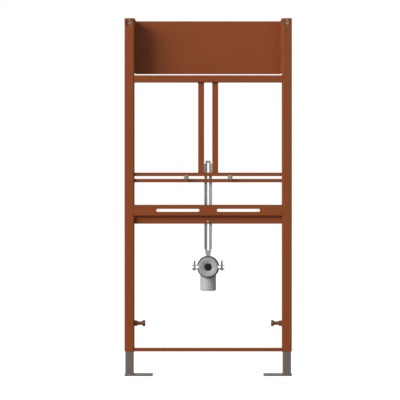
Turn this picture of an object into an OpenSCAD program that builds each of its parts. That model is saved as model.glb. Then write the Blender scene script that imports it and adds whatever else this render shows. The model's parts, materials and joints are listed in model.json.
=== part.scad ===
// Steel installation frame for a wall-hung urinal, set up on its two adjustable feet.
// Millimetres, +Z up, +X from the left upright to the right one, +Y towards the wall.
// The origin is where the left upright's axis meets the floor, under the left foot plate.

/* [Uprights] */
// Distance between the axes of the two uprights
upright_pitch = 495; // [440:5:640]
// Length of each upright
upright_len = 1045; // [1000:5:1200]
// Width of an upright's front face
upright_w = 30; // [28:1:40]
// Depth of an upright from front to back
upright_d = 40; // [34:1:50]
// Wall of the upright tube
upright_wall = 2; // [1.5:0.25:3]
// Outer corner radius of the upright tube
upright_corner = 3; // [2.5:0.5:4]

/* [Feet] */
// Height of the uprights' lower ends above the floor, as the feet are set
foot_show = 77; // [30:1:140]
// Length of each foot tube
foot_len = 306; // [290:1:330]
// Wall of the foot tube
foot_wall = 2; // [1.5:0.25:3]
// Clearance between foot tube and upright on each side
foot_play = 0.5; // [0.3:0.1:1]
// Thickness of the foot plates
plate_t = 4; // [3:0.5:6]
// Length of a foot plate, measured from the upright's outer face
plate_len = 88; // [70:1:110]
// Depth of a foot plate
plate_d = 40; // [36:1:60]
// Corner radius of the foot plates
plate_corner = 3; // [2:0.5:8]
// Diameter of the floor anchor hole
anchor_d = 11; // [8:0.5:13]
// Distance of the anchor hole from the free end of the plate
anchor_edge = 22; // [15:1:28]

/* [Foot clamp screws] */
// Height of the clamp screws above the uprights' lower ends
clamp_h = 87; // [70:0.5:150]
// Diameter of the threaded boss
boss_d = 17.5; // [16:0.5:22]
// Length of the threaded boss
boss_len = 10; // [8:0.5:12]
// Diameter of the clamp screw
clamp_screw_d = 12; // [10:0.5:14]
// Diameter of the flared screw head
screw_head_d = 18.5; // [17:0.5:22]
// Length of the flared screw head
screw_head_len = 8; // [6:0.5:10]
// Reach of the screw's end from the upright's side
screw_reach = 34.5; // [28:0.5:45]
// Width of the hex socket in the screw head
screw_key = 6; // [4:1:8]

/* [Tray and rails] */
// Height of the recessed back panel
tray_h = 169; // [120:1:220]
// Depth of the panel's front face behind the front plane
tray_depth = 88; // [60:1:95]
// Sheet thickness of the panel
sheet_t = 2; // [1.5:0.25:3]
// Outer bend radius of the sheet
bend_r = 3; // [3:0.5:5]
// Gap between the panel's lower edge and the top rail
tray_gap = 10; // [6:1:20]
// Height of the top rail
top_rail_h = 22; // [18:1:30]
// Depth of the top and bottom rails
rail_d = 20; // [15:1:30]
// Wall of the top and bottom rails
rail_wall = 1.5; // [1:0.25:2]
// Height of the bottom rail
bottom_rail_h = 10; // [8:1:20]

/* [Fixing rails] */
// Height of the urinal fixing studs above the uprights' lower ends
stud_h = 545.5; // [500:0.5:600]
// Open slot between the two fixing rails
slot_gap = 8.5; // [8.5:0.25:13]
// Height of each fixing rail
fix_rail_h = 11; // [8:0.5:14]
// Thickness of each fixing rail
fix_rail_t = 8; // [6:0.5:10]
// Depth of the fixing rails' faces behind the front plane
fix_recess = 10; // [6:0.5:14]

/* [Guide bars] */
// Width of each guide bar
guide_w = 18.7; // [15:0.1:24]
// Depth of each guide bar
guide_d = 20; // [16:1:24]
// Wall of each guide bar
guide_wall = 1.5; // [1:0.25:2]
// Outer corner radius of the guide bars and rails
small_corner = 2; // [1.75:0.25:2.5]

/* [Slotted crossmember] */
// Height of the crossmember's fold above the uprights' lower ends
cross_h = 425; // [380:1:470]
// Height of its front flange
cross_front_h = 35; // [28:1:45]
// Height of its rear flange
cross_rear_h = 25; // [18:1:32]
// Sheet thickness of the crossmember
cross_t = 2; // [1.5:0.25:3]
// Length of each through slot
slot_len = 135; // [80:1:160]
// Width of each through slot
slot_w = 9; // [7:0.5:12]
// Distance of each slot's centre from the frame's centre
slot_offset = 95; // [85:1:110]

/* [Urinal fixing studs] */
// Distance between the two studs
stud_pitch = 138; // [110:1:280]
// Stud diameter
stud_d = 8; // [6:0.5:8]
// Reach of each stud in front of its front nut
stud_reach = 26; // [15:1:60]
// Width across flats of the stud nuts
stud_nut_af = 13; // [10:0.5:15]
// Thickness of the stud nuts
stud_nut_t = 6.5; // [5:0.5:8]
// Diameter of the stud washers
washer_d = 16; // [14:0.5:24]
// Thickness of the stud washers
washer_t = 1.6; // [1.2:0.1:2.5]

/* [Wall fixings] */
// Height of the wall rods below the uprights' upper ends
wall_rod_drop = 14; // [13:0.5:30]
// Diameter of the threaded wall rods
wall_rod_d = 10; // [8:0.5:12]
// Diameter of the access hole in the upright's front face
access_d = 21; // [20:0.5:22]
// Depth of the front nut's face behind the front plane
nut_recess = 12; // [4:0.5:14]
// Reach of the rod in front of its front nut
rod_reach = 3; // [2:0.5:6]
// Outer diameter of the spacer sleeve inside the upright
sleeve_d = 16; // [14:0.5:18]
// Distance of the wall's face behind the front plane
wall_depth = 124; // [115:1:200]
// Thickness of the wall plates
wall_plate_t = 4; // [3:0.5:6]
// Corner radius of the wall plates
wall_plate_corner = 4; // [2:0.5:8]
// Height of the wall plates
wall_plate_h = 84; // [70:1:100]
// Height of the lower screw hole above the plate's lower edge
wall_hole_low = 13; // [10:1:20]
// Distance between the two screw holes of a wall plate
wall_hole_pitch = 30; // [25:1:40]
// Diameter of the screw holes of a wall plate
wall_hole_d = 9; // [7:0.5:10]

/* [Waste strap] */
// Width of the strap
strap_w = 24.8; // [22:0.2:30]
// Depth of the strap's folded edges
strap_d = 10; // [8:0.5:12]
// Sheet thickness of the strap
strap_t = 2; // [1.5:0.25:2.5]
// Length of the strap's folded edges
strap_len = 268; // [220:1:300]
// Width of the tongue above the strap's folded edges
tongue_w = 16.4; // [14:0.2:18]
// Height of that tongue
tongue_h = 9.5; // [6:0.5:12]
// Height over which the strap's neck narrows down to the clamp
neck_drop = 23; // [20:1:30]
// Width of the neck at its upper end
neck_top_w = 21; // [16:0.5:23]
// Width of the neck at the clamp
neck_low_w = 13; // [10:0.5:16]
// Width of the long slot in the strap
strap_slot_w = 5.4; // [5.2:0.1:6]
// Distance of that slot's lower end below the folded edges
slot_below = 6; // [2:0.5:12]
// Distance of that slot's upper end above the folded edges
slot_above = 3.5; // [2:0.5:5]
// Diameter of the strap's clamping screw
strap_screw_d = 5; // [4:0.25:5]
// Height of that screw above the rear flange's lower edge
strap_screw_h = 7; // [6:0.5:12]
// Clearance between the strap and what guides it
slide_gap = 0.4; // [0.2:0.1:0.6]

/* [Pipe clamp] */
// Height of the waste pipe's mouth above the uprights' lower ends
mouth_h = 264; // [220:1:290]
// Outer radius of the clamp band
band_r = 34.2; // [33:0.1:36]
// Thickness of the clamp band and its ears
band_t = 2; // [1.5:0.25:2.5]
// Width of the clamp band
band_w = 18; // [14:1:20]
// Gap between the ears of the two halves
ear_gap = 8; // [6:0.5:10]
// Radius of the bend from the band to an ear, along its middle
ear_bend = 4; // [2.5:0.5:6]
// Reach of the ears from the pipe's axis
ear_reach = 52; // [50:0.5:58]
// Distance of the clamp bolts from the pipe's axis
clamp_bolt_x = 43; // [42:0.5:45]
// Diameter of the clamp bolts
clamp_bolt_d = 6; // [5:0.5:6]
// Reach of the clamp bolts above the upper ears
clamp_bolt_reach = 14; // [8:0.5:20]

/* [Waste elbow] */
// Outer radius of the socket
socket_r = 30; // [29:0.1:31]
// Length of the socket
socket_len = 24; // [22:1:30]
// Wall of the socket
socket_wall = 3.2; // [2.5:0.1:4]
// Depth of the socket's rim behind the front plane
socket_recess = 4; // [3:0.5:8]
// Outer radius of the pipe
pipe_r = 25; // [24:0.5:26]
// Wall of the pipe
pipe_wall = 2; // [1.8:0.1:3]
// Radius of the bend along the pipe's axis
pipe_bend_r = 30; // [29:0.5:40]
// Length of the straight neck between the socket's shoulder and the bend
neck_len = 2; // [1:0.5:10]
// Length of the straight outlet below the bend
outlet_len = 47.5; // [35:0.5:80]
// Radius of the hole in the inlet seal
seal_hole_r = 12; // [10:0.5:16]
// Depth of the seal's cone
seal_cone = 8; // [5:0.5:10]

/* [Hidden] */
$fn = 64;
// overshoot of a cut beyond the face that it opens
over = 1;
// diametral clearance of a plain hole around its screw
hole_play = 0.8;
// gap between pieces that are pressed or screwed together
seat_gap = 0.1;

// planes of the frame
front = -upright_d / 2;
back = upright_d / 2;
mid_x = upright_pitch / 2;
clear_w = upright_pitch - upright_w;
inner_left = upright_w / 2;
base_z = foot_show;
top_z = base_z + upright_len;

// feet, seated in the uprights
foot_w = upright_w - 2 * upright_wall - 2 * foot_play;
foot_d = upright_d - 2 * upright_wall - 2 * foot_play;
foot_corner = max(upright_corner - upright_wall / 2, 1);
anchor_x = plate_len - upright_w / 2 - anchor_edge;

// clamp screws
clamp_z = base_z + clamp_h;
screw_tip_x = foot_w / 2 + 0.2;
screw_end_x = upright_w / 2 + screw_reach;

// tray and rails
tray_z = top_z - tray_h;
tray_front = front + upright_corner;
tray_back = front + tray_depth + sheet_t;
top_rail_z = tray_z - tray_gap - top_rail_h;

// fixing rails and the plane that the strap slides against
stud_z = base_z + stud_h;
upper_rail_z = stud_z + slot_gap / 2;
lower_rail_z = stud_z - slot_gap / 2 - fix_rail_h;
fix_front = front + fix_recess;
fix_back = fix_front + fix_rail_t;

// crossmember, with its rear flange in the plane of the fixing rails
cross_z = base_z + cross_h;
cross_rear = fix_back - cross_t;

// guide bars stand on the upper fixing rail and reach the top rail
guide_gap = strap_w + 2 * slide_gap;
guide_z = upper_rail_z + fix_rail_h;
guide_len = top_rail_z - guide_z;

// wall fixings
wall_rod_z = top_z - wall_rod_drop;
wall_rod_front = front + nut_recess - rod_reach;
wall_plate_y = front + wall_depth - wall_plate_t;
wall_nut_af = 1.7 * wall_rod_d;
wall_nut_t = 0.8 * wall_rod_d;
sleeve_front = front + nut_recess + wall_nut_t;

// waste strap
strap_front = fix_back + slide_gap;
web_y = strap_front + strap_d - strap_t;
pipe_z = base_z + mouth_h;
neck_z = pipe_z + band_r;
edge_z = neck_z + neck_drop;
strap_top = edge_z + strap_len;
strap_slot_low = edge_z - slot_below;
strap_slot_high = strap_top + slot_above;
strap_screw_z = cross_z - cross_rear_h + strap_screw_h;
strap_nut_af = 1.6 * strap_screw_d;
strap_nut_t = 0.8 * strap_screw_d;
strap_washer_d = 2.4 * strap_screw_d;
strap_washer_t = 1;

// elbow, with the clamp band on its socket and the strap's web over the band's rear edge
socket_front = front + socket_recess;
socket_back = socket_front + socket_len;
shoulder_len = socket_r - pipe_r - 1;
bend_y = socket_back + shoulder_len + neck_len;
outlet_y = bend_y + pipe_bend_r;
outlet_z = pipe_z - pipe_bend_r - outlet_len;
seal_lip = 2;
band_y = web_y + strap_t - band_w / 2;
lining_in = socket_r + seat_gap;
lining_out = band_r - band_t - seat_gap;
lining_w = band_w + 2;

paint = "#8c4a2c";
zinc = "#8a8378";
rubber = "#8f8f8f";
plastic = "#b4b4b6";
black_steel = "#4b4643";

// Outline of a rectangle with round corners, centred
module rounded_rect(w, d, r) {
    square([w - 2 * r, d], center = true);
    square([w, d - 2 * r], center = true);
    for (sx = [-1, 1], sy = [-1, 1])
        translate([sx * (w / 2 - r), sy * (d / 2 - r)]) circle(r = r);
}

// Cross-section of a rectangular tube, centred
module tube_section(w, d, wall, r) {
    difference() {
        rounded_rect(w, d, r);
        rounded_rect(w - 2 * wall, d - 2 * wall, max(r - wall, 0.4));
    }
}

// Cross-section of a sheet folded to a channel that opens towards -Y, from y = 0 to y = d
module channel_section(w, d, t, r) {
    difference() {
        channel_outline(w, d, r);
        translate([0, -over]) channel_outline(w - 2 * t, d - t + over, max(r - t, 0.4));
    }
}

// Outline with two round corners at its far side
module channel_outline(w, d, r) {
    translate([-w / 2, 0]) square([w, d - r]);
    translate([-w / 2 + r, 0]) square([w - 2 * r, d]);
    for (sx = [-1, 1]) translate([sx * (w / 2 - r), d - r]) circle(r = r);
}

// Runs its children's outline, drawn in Y and Z, along X between the uprights
module between_uprights() {
    translate([inner_left, 0, 0]) rotate([90, 0, 90]) linear_extrude(height = clear_w) children();
}

// Turns an axis from +Z to +Y, towards the wall
module towards_wall() {
    rotate([-90, 0, 0]) children();
}

// Places its children at an upright: side is 1 for the left one and -1 for the right one,
// and the children are drawn for the left one
module at_upright(side) {
    if (side > 0) children();
    else translate([upright_pitch, 0, 0]) mirror([1, 0, 0]) children();
}

// Hexagonal nut on the Z axis with its bore
module hex_nut(across_flats, t, bore_d) {
    difference() {
        intersection() {
            cylinder(d = across_flats / cos(30), h = t, $fn = 6);
            rotate_extrude() polygon([
                [0, 0], [across_flats * 0.49, 0], [across_flats * 0.59, t * 0.16],
                [across_flats * 0.59, t * 0.84], [across_flats * 0.49, t], [0, t]
            ]);
        }
        translate([0, 0, -over]) cylinder(d = bore_d + 2 * seat_gap, h = t + 2 * over);
    }
}

// Round bar on the Z axis with a small chamfer at both ends
module rod(d, length) {
    chamfer = d / 10;
    rotate_extrude() polygon([
        [0, 0], [d / 2 - chamfer, 0], [d / 2, chamfer],
        [d / 2, length - chamfer], [d / 2 - chamfer, length], [0, length]
    ]);
}

// Foot tube that slides in the upright and stands on its plate
module foot_tube(side) {
    color(zinc) at_upright(side) translate([0, 0, plate_t])
        linear_extrude(height = foot_len) tube_section(foot_w, foot_d, foot_wall, foot_corner);
}

// Foot plate with its floor anchor hole
module foot_plate(side) {
    color(zinc) at_upright(side) difference() {
        translate([(plate_len - upright_w) / 2, 0, 0]) linear_extrude(height = plate_t)
            rounded_rect(plate_len, plate_d, plate_corner);
        translate([anchor_x, 0, -over]) cylinder(d = anchor_d, h = plate_t + 2 * over);
    }
}

// Upright with the access and rod holes at its top and the clamp screw's hole near its foot
module upright(side) {
    color(paint) at_upright(side) difference() {
        translate([0, 0, base_z]) linear_extrude(height = upright_len)
            tube_section(upright_w, upright_d, upright_wall, upright_corner);
        translate([0, front - over, wall_rod_z]) towards_wall()
            cylinder(d = access_d, h = upright_wall + 2 * over);
        translate([0, back - upright_wall - over, wall_rod_z]) towards_wall()
            cylinder(d = wall_rod_d + hole_play, h = upright_wall + 2 * over);
        translate([upright_w / 2 - upright_wall - over, 0, clamp_z]) rotate([0, 90, 0])
            cylinder(d = clamp_screw_d + hole_play, h = upright_wall + 2 * over);
    }
}

// Panel behind the tray, folded forward along both uprights
module back_panel() {
    color(paint) translate([mid_x, tray_front, tray_z]) linear_extrude(height = tray_h)
        channel_section(clear_w, tray_back - tray_front, sheet_t, bend_r);
}

// Box rail between the uprights, flush with their front
module box_rail(z, h) {
    color(paint) between_uprights() translate([front + rail_d / 2, z + h / 2])
        tube_section(rail_d, h, rail_wall, small_corner);
}

// Flat bar between the uprights, one each side of the stud slot
module fixing_rail(z) {
    color(paint) between_uprights() translate([fix_front, z]) square([fix_rail_t, fix_rail_h]);
}

// Guide bar beside the strap: side is -1 on the left and 1 on the right
module guide_bar(side) {
    color(paint) translate([mid_x + side * (guide_gap + guide_w) / 2, fix_front + guide_d / 2, guide_z])
        linear_extrude(height = guide_len) tube_section(guide_w, guide_d, guide_wall, small_corner);
}

// Part of a ring between two angles that are less than 180 degrees apart
module ring_sector(r_in, r_out, from, to) {
    far = 2 * r_out;
    middle = (from + to) / 2;
    difference() {
        intersection() {
            circle(r = r_out);
            polygon([
                [0, 0], [far * cos(from), far * sin(from)],
                [far * cos(middle), far * sin(middle)], [far * cos(to), far * sin(to)]
            ]);
        }
        circle(r = r_in);
    }
}

// Cross-section of the crossmember: front flange, bend, web, bend and rear flange
module crossmember_section() {
    bend_in = bend_r - cross_t;
    translate([front, cross_z + bend_r]) square([cross_t, cross_front_h - bend_r]);
    translate([front + bend_r, cross_z + bend_r]) ring_sector(bend_in, bend_r, 180, 270);
    translate([front + bend_r, cross_z]) square([fix_back - front - 2 * bend_r, cross_t]);
    translate([fix_back - bend_r, cross_z + cross_t - bend_r]) ring_sector(bend_in, bend_r, 0, 90);
    translate([cross_rear, cross_z - cross_rear_h]) square([cross_t, cross_rear_h + cross_t - bend_r]);
}

// Folded crossmember with a long slot on each side of the middle
module slotted_crossmember() {
    slot_z = cross_z + cross_front_h / 2;
    color(paint) difference() {
        between_uprights() crossmember_section();
        for (side = [-1, 1]) translate([mid_x + side * slot_offset, front - over, slot_z])
            rotate([90, 0, 0]) mirror([0, 0, 1]) linear_extrude(height = cross_t + 2 * over)
                slot_outline(slot_len, slot_w);
        translate([mid_x, cross_rear - over, strap_screw_z]) towards_wall()
            cylinder(d = strap_screw_d + hole_play, h = cross_t + 2 * over);
    }
}

// Outline of a slot with round ends, centred, along X
module slot_outline(length, w) {
    square([length - w, w], center = true);
    for (s = [-1, 1]) translate([s * (length - w) / 2, 0]) circle(d = w);
}

// Threaded boss on the upright's inner side
module clamp_boss(side) {
    color(paint) at_upright(side) translate([upright_w / 2, 0, clamp_z]) rotate([0, 90, 0])
        difference() {
            cylinder(d = boss_d, h = boss_len);
            translate([0, 0, -over])
                cylinder(d = clamp_screw_d + 2 * seat_gap, h = boss_len + 2 * over);
        }
}

// Clamp screw whose tip presses on the foot tube, with a flared head and a hex socket
module clamp_screw(side) {
    r = clamp_screw_d / 2;
    length = screw_end_x - screw_tip_x;
    head = length - screw_head_len;
    color(black_steel) at_upright(side) translate([screw_tip_x, 0, clamp_z]) rotate([0, 90, 0])
        difference() {
            rotate_extrude() polygon([
                [0, 0], [r - 1, 0], [r, 1], [r, head], [screw_head_d / 2, head + screw_head_len / 2],
                [screw_head_d / 2, length - 1], [screw_head_d / 2 - 1, length], [0, length]
            ]);
            translate([0, 0, length - screw_head_len / 2])
                cylinder(d = screw_key / cos(30), h = screw_head_len, $fn = 6);
        }
}

// Threaded rod from the upright to the wall plate
module wall_rod(side) {
    color(zinc) at_upright(side) translate([0, wall_rod_front, wall_rod_z]) towards_wall()
        rod(wall_rod_d, front + wall_depth - wall_rod_front);
}

// Spacer sleeve that carries the front nut's load to the upright's rear wall
module wall_sleeve(side) {
    length = back - upright_wall - sleeve_front;
    color(zinc) at_upright(side) translate([0, sleeve_front, wall_rod_z]) towards_wall()
        difference() {
            cylinder(d = sleeve_d, h = length);
            translate([0, 0, -over]) cylinder(d = wall_rod_d + hole_play, h = length + 2 * over);
        }
}

// Nuts of a wall rod: in the access hole, behind the upright and in front of the wall plate
module wall_nuts(side) {
    color(zinc) at_upright(side)
        for (y = [front + nut_recess, back, wall_plate_y - wall_nut_t])
            translate([0, y, wall_rod_z]) towards_wall()
                hex_nut(wall_nut_af, wall_nut_t, wall_rod_d);
}

// Wall plate with the rod near its top and two screw holes below
module wall_plate(side) {
    low = top_z - wall_plate_h;
    color(zinc) at_upright(side) difference() {
        translate([0, wall_plate_y, low + wall_plate_h / 2]) towards_wall()
            linear_extrude(height = wall_plate_t)
                rounded_rect(upright_w, wall_plate_h, wall_plate_corner);
        translate([0, wall_plate_y - over, wall_rod_z]) towards_wall()
            cylinder(d = wall_rod_d + 2 * seat_gap, h = wall_plate_t + 2 * over);
        for (k = [0, 1])
            translate([0, wall_plate_y - over, low + wall_hole_low + k * wall_hole_pitch])
                towards_wall() cylinder(d = wall_hole_d, h = wall_plate_t + 2 * over);
    }
}

// Screw that clamps the strap to the crossmember's rear flange
module strap_screw() {
    head_t = 0.6 * strap_screw_d;
    shank = web_y + strap_t + strap_washer_t + strap_nut_t + 2 - cross_rear;
    color(zinc) translate([mid_x, cross_rear - head_t, strap_screw_z]) towards_wall()
        rotate_extrude() polygon([
            [0, 0], [strap_screw_d * 0.6, 0], [strap_screw_d * 0.9, head_t * 0.5],
            [strap_screw_d * 0.9, head_t], [strap_screw_d / 2, head_t],
            [strap_screw_d / 2, head_t + shank], [0, head_t + shank]
        ]);
}

// Nut with its fixed washer behind the strap
module strap_nut() {
    nut_y = web_y + strap_t + slide_gap;
    color(zinc) translate([mid_x, nut_y, strap_screw_z]) towards_wall() {
        difference() {
            cylinder(d = strap_washer_d, h = strap_washer_t);
            translate([0, 0, -over])
                cylinder(d = strap_screw_d + 2 * seat_gap, h = strap_washer_t + 2 * over);
        }
        translate([0, 0, strap_washer_t]) hex_nut(strap_nut_af, strap_nut_t, strap_screw_d);
    }
}

// Slotted strap: a channel open to the front, with a tongue above and a neck down to the clamp
module waste_strap() {
    color(zinc) difference() {
        union() {
            translate([mid_x, strap_front, edge_z]) linear_extrude(height = strap_len)
                channel_section(strap_w, strap_d, strap_t, strap_t + 0.5);
            translate([mid_x, web_y + strap_t, 0]) rotate([90, 0, 0]) linear_extrude(height = strap_t)
                polygon([
                    [-neck_low_w / 2, neck_z - 3], [neck_low_w / 2, neck_z - 3],
                    [neck_top_w / 2, edge_z], [tongue_w / 2, edge_z + tongue_w],
                    [tongue_w / 2, strap_top + tongue_h], [-tongue_w / 2, strap_top + tongue_h],
                    [-tongue_w / 2, edge_z + tongue_w], [-neck_top_w / 2, edge_z]
                ]);
        }
        translate([mid_x, web_y + strap_t + over, (strap_slot_low + strap_slot_high) / 2])
            rotate([90, 0, 0]) linear_extrude(height = strap_t + 2 * over)
                rotate(90) slot_outline(strap_slot_high - strap_slot_low, strap_slot_w);
        translate([mid_x, band_y - band_w, pipe_z]) towards_wall() cylinder(r = band_r, h = 2 * band_w);
    }
}

// Outline of the upper clamp half: the band, and on each side a bend that turns it into an ear
module clamp_outline() {
    band_mid = band_r - band_t / 2;
    bend_z = (ear_gap + band_t) / 2 + ear_bend;
    bend_x = sqrt((band_mid + ear_bend) ^ 2 - bend_z ^ 2);
    start = atan2(bend_z, bend_x);
    for (side = [0, 1]) mirror([side, 0]) {
        ring_sector(band_r - band_t, band_r, start, 90);
        translate([bend_x, bend_z])
            ring_sector(ear_bend - band_t / 2, ear_bend + band_t / 2, 180 + start, 270);
        translate([bend_x, ear_gap / 2]) square([ear_reach - bend_x, band_t]);
    }
}

// One half of the pipe clamp, drawn as the upper one: up is 1 for the upper and -1 for the lower
module clamp_half(up) {
    color(zinc) translate([mid_x, band_y, pipe_z]) mirror([0, 0, up > 0 ? 0 : 1]) difference() {
        rotate([90, 0, 0]) linear_extrude(height = band_w, center = true) clamp_outline();
        for (side = [-1, 1]) translate([side * clamp_bolt_x, 0, 0])
            cylinder(d = clamp_bolt_d + hole_play, h = ear_gap + band_t);
    }
}

// Upper half of a ring, cut at half the gap between the ears
module half_ring(r_in, r_out) {
    difference() {
        circle(r = r_out);
        circle(r = r_in);
        translate([-r_out - over, -r_out - over]) square([2 * (r_out + over), r_out + over + ear_gap / 2]);
    }
}

// Rubber lining of the two clamp halves
module clamp_lining() {
    color(black_steel) translate([mid_x, band_y, pipe_z])
        for (up = [0, 1]) mirror([0, 0, up]) rotate([90, 0, 0])
            linear_extrude(height = lining_w, center = true) half_ring(lining_in, lining_out);
}

// Round-headed bolt through both ears, from below
module clamp_bolt(side) {
    r = clamp_bolt_d / 2;
    head_t = clamp_bolt_d * 0.8;
    shank = ear_gap + 2 * band_t + clamp_bolt_reach;
    color(zinc) translate([mid_x + side * clamp_bolt_x, band_y, pipe_z - ear_gap / 2 - band_t - head_t])
        rotate_extrude() polygon([
            [0, 0], [r, 0], [1.6 * r, 0.25 * head_t], [1.95 * r, 0.7 * head_t], [1.95 * r, head_t],
            [r, head_t], [r, head_t + shank - 0.8], [r - 0.8, head_t + shank], [0, head_t + shank]
        ]);
}

// Quarter bend of a round bar of radius r, from the neck down to the outlet
module bend(r) {
    translate([mid_x, bend_y, pipe_z - pipe_bend_r]) rotate([90, 0, 90])
        rotate_extrude(angle = 90) translate([pipe_bend_r, 0]) circle(r = r);
}

// Waste elbow: socket towards the front, shoulder, neck, bend and straight outlet
module waste_elbow() {
    chamfer = 1.2;
    bore_r = pipe_r - pipe_wall;
    socket_bore_r = socket_r - socket_wall;
    neck_end = bend_y - socket_front;
    color(plastic) difference() {
        union() {
            translate([mid_x, socket_front, pipe_z]) towards_wall() rotate_extrude() polygon([
                [0, 0], [socket_r, 0], [socket_r, socket_len],
                [pipe_r, socket_len + shoulder_len], [pipe_r, neck_end], [0, neck_end]
            ]);
            bend(pipe_r);
            translate([mid_x, outlet_y, outlet_z]) rotate_extrude() polygon([
                [0, 0], [pipe_r - chamfer, 0], [pipe_r, 2 * chamfer], [pipe_r, outlet_len], [0, outlet_len]
            ]);
        }
        union() {
            translate([mid_x, socket_front - over, pipe_z]) towards_wall() rotate_extrude() polygon([
                [0, 0], [socket_bore_r, 0], [socket_bore_r, socket_len + over - 2],
                [bore_r, socket_len + over + 1], [bore_r, neck_end + over], [0, neck_end + over]
            ]);
            bend(bore_r);
            translate([mid_x, outlet_y, outlet_z - over])
                cylinder(r = bore_r, h = outlet_len + over);
        }
    }
}

// Rubber seal in the socket's mouth: a lip over the rim and a cone down to the inlet hole
module inlet_seal() {
    sleeve_out = socket_r - socket_wall - seat_gap;
    sleeve_in = sleeve_out - 3;
    lip_r = socket_r - 0.5;
    color(rubber) translate([mid_x, socket_front - seal_lip, pipe_z]) towards_wall()
        rotate_extrude() polygon([
            [lip_r - 1, 0], [lip_r, 1], [lip_r, seal_lip], [sleeve_out, seal_lip],
            [sleeve_out, socket_len - 6], [sleeve_in, socket_len - 6], [sleeve_in, seal_cone],
            [seal_hole_r + 2.5, seal_cone + 4], [seal_hole_r, seal_cone + 4], [seal_hole_r, seal_cone]
        ]);
}

// Urinal fixing stud through the slot, with a groove that parts its free end from the clamped thread
module fixing_stud(side) {
    r = stud_d / 2;
    chamfer = stud_d / 10;
    groove_w = 1.2;
    groove = stud_reach - groove_w - 0.5;
    stud_front = fix_front - washer_t - stud_nut_t - stud_reach;
    length = fix_back + washer_t + stud_nut_t + 3 - stud_front;
    color(zinc) translate([mid_x + side * stud_pitch / 2, stud_front, stud_z]) towards_wall()
        rotate_extrude() polygon([
            [0, 0], [r - chamfer, 0], [r, chamfer], [r, groove], [0.9 * r, groove],
            [0.9 * r, groove + groove_w], [r, groove + groove_w], [r, length - chamfer],
            [r - chamfer, length], [0, length]
        ]);
}

// Nuts of a stud, in front of and behind the rails
module stud_nuts(side) {
    color(zinc) for (y = [fix_front - washer_t - stud_nut_t, fix_back + washer_t])
        translate([mid_x + side * stud_pitch / 2, y, stud_z]) towards_wall()
            hex_nut(stud_nut_af, stud_nut_t, stud_d);
}

// Washers of a stud, in front of and behind the rails
module stud_washers(side) {
    color(zinc) for (y = [fix_front - washer_t, fix_back])
        translate([mid_x + side * stud_pitch / 2, y, stud_z]) towards_wall()
            difference() {
                cylinder(d = washer_d, h = washer_t);
                translate([0, 0, -over]) cylinder(d = stud_d + 2 * seat_gap, h = washer_t + 2 * over);
            }
}

foot_tube(1);  // left_foot_tube
foot_plate(1);  // left_foot_plate
foot_tube(-1);  // right_foot_tube
foot_plate(-1);  // right_foot_plate
upright(1);  // left_upright
upright(-1);  // right_upright
back_panel();
box_rail(top_rail_z, top_rail_h);  // top_rail
guide_bar(-1);  // left_guide_bar
guide_bar(1);  // right_guide_bar
fixing_rail(upper_rail_z);  // upper_fixing_rail
fixing_rail(lower_rail_z);  // lower_fixing_rail
slotted_crossmember();
box_rail(base_z, bottom_rail_h);  // bottom_rail
clamp_boss(1);  // left_clamp_boss
clamp_boss(-1);  // right_clamp_boss
clamp_screw(1);  // left_clamp_screw
clamp_screw(-1);  // right_clamp_screw
wall_rod(1);  // left_wall_rod
wall_rod(-1);  // right_wall_rod
wall_sleeve(1);  // left_wall_sleeve
wall_sleeve(-1);  // right_wall_sleeve
wall_nuts(1);  // left_wall_nuts
wall_nuts(-1);  // right_wall_nuts
wall_plate(1);  // left_wall_plate
wall_plate(-1);  // right_wall_plate
strap_screw();
strap_nut();
waste_strap();
clamp_half(1);  // upper_clamp_half
clamp_half(-1);  // lower_clamp_half
clamp_lining();
clamp_bolt(-1);  // left_clamp_bolt
clamp_bolt(1);  // right_clamp_bolt
waste_elbow();
inlet_seal();
fixing_stud(-1);  // left_fixing_stud
stud_nuts(-1);  // left_stud_nuts
stud_washers(-1);  // left_stud_washers
fixing_stud(1);  // right_fixing_stud
stud_nuts(1);  // right_stud_nuts
stud_washers(1);  // right_stud_washers
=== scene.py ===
"""Looks of a steel installation frame for a wall-hung urinal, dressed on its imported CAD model.

Metres, +Z up, +X from the left upright to the right one and +Y towards the wall, as in the
CAD. Sizes of the sub-assemblies are in millimetres, as a workshop gives them, and those of the
studio are in metres.
"""
import json
import logging
import math
from collections.abc import Callable, Iterable, Sequence
from dataclasses import dataclass, field
from enum import Enum

import bmesh
import bpy
from bpy.types import Material, Node, NodeSocket, NodeTree, Object
from mathutils import Matrix, Vector


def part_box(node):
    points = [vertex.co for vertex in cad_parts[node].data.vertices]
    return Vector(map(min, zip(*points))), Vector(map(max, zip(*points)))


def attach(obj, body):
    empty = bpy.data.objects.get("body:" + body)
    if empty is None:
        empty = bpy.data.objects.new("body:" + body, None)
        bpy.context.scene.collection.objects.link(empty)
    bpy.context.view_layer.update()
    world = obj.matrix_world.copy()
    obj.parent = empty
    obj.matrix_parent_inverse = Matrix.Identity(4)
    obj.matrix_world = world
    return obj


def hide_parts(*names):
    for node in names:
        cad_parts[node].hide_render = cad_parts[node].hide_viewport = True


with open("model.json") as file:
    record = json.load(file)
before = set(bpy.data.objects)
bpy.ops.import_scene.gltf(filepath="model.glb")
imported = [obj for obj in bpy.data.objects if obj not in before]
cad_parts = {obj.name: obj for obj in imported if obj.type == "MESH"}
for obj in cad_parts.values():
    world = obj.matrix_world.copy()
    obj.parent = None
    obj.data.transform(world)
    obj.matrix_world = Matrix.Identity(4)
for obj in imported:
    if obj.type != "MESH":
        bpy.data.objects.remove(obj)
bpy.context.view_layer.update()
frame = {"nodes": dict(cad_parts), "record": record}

log = logging.getLogger("frame_looks")

MM = 0.001
FULL_TURN = 2 * math.pi
# points of a piece that lie closer than this, in metres, are one
SAME_POINT = 1e-6
# keeps a division away from zero
NEARLY_ZERO = 1e-3
# edges of a modelled piece that turn by more than this are sharp
SHARP_DEG = 35.0
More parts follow.
